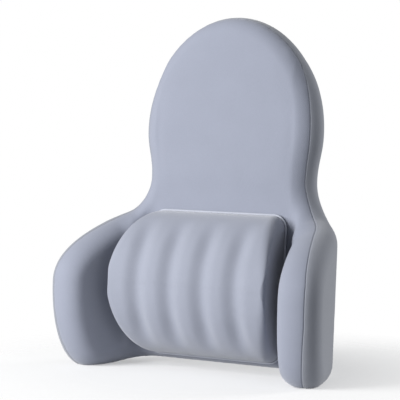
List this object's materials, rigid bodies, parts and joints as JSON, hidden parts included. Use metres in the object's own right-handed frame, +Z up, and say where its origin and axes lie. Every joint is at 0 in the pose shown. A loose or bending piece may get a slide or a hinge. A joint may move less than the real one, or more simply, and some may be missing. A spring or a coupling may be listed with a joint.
{
  "type": "lumbar support cushion",
  "caption": "Winged chair back cushion with a detachable ribbed lumbar pad, zipped fabric cover and a rear chair strap with a side-release buckle.",
  "frame": {"origin": "middle of the cushion's width and depth, at the level its wing feet rest on", "axes": "+X to the cushion's left-hand wing as its user sits, so to the right seen from the front; +Y towards the chair's back; +Z up"},
  "size_m": [0.472, 0.198, 0.5269],
  "materials": {
    "foam": "open-cell moulded polyurethane foam, cream",
    "cover_fabric": "matt blue-grey stretch knit",
    "rear_fabric": "matt blue-grey knit, slightly darker",
    "pad_fabric": "matt blue-grey stretch knit, ribbed by moulded channels",
    "piping": "fine corded piping in the cover's colour",
    "hook_loop": "woven nylon hook and loop tape",
    "zip_tape": "herringbone zip tape",
    "zip_metal": "satin grey enamelled zinc",
    "zip_teeth": "nylon coil",
    "webbing": "plain woven elastic webbing",
    "buckle_plastic": "fine-grained moulded acetal"
  },
  "bodies": {
    "backrest": {"backrest_foam_core": "foam", "front_cover": "cover_fabric", "rear_cover": "rear_fabric", "loop_strip_left": "hook_loop", "loop_strip_right": "hook_loop", "strap_anchor_left": "rear_fabric", "strap_anchor_right": "rear_fabric", "strap_left": "webbing", "strap_right": "webbing", "buckle_socket": "buckle_plastic", "zip_tape_lower": "zip_tape", "zip_tape_upper": "zip_tape", "zip_chain": "zip_teeth", "zip_stop_left": "zip_teeth", "zip_stop_right": "zip_teeth"},
    "lumbar_pad": {"pad_foam": "foam", "pad_front_cover": "pad_fabric", "pad_back_panel": "rear_fabric", "pad_piping": "piping", "pad_hook_strip_left": "hook_loop", "pad_hook_strip_right": "hook_loop"},
    "slider": {"zip_slider": "zip_metal"},
    "pull": {"zip_pull": "zip_metal"},
    "plug": {"buckle_plug": "buckle_plastic"},
    "adjuster": {"strap_adjuster": "buckle_plastic"}
  },
  "joints": [
    {"name": "pad_height", "type": "slide", "parent": "backrest", "child": "lumbar_pad", "axis": [0, 0.0715, 0.9974], "range_m": [0, 0.06]},
    {"name": "zip_slide", "type": "slide", "parent": "backrest", "child": "slider", "axis": [-1, 0, 0], "range_m": [0, 0.18]},
    {"name": "zip_pull_swing", "type": "hinge", "parent": "slider", "child": "pull", "pos_m": [0.0922, 0.07479, 0.07175], "axis": [0, -0.0715, -0.9974], "range_deg": [0, 150]},
    {"name": "buckle_release", "type": "slide", "parent": "backrest", "child": "plug", "axis": [1, 0, 0], "range_m": [0, 0.026], "deforming": ["strap_right"]},
    {"name": "strap_adjust", "type": "slide", "parent": "backrest", "child": "adjuster", "axis": [1, 0, 0], "range_m": [0, 0.02]}
  ]
}
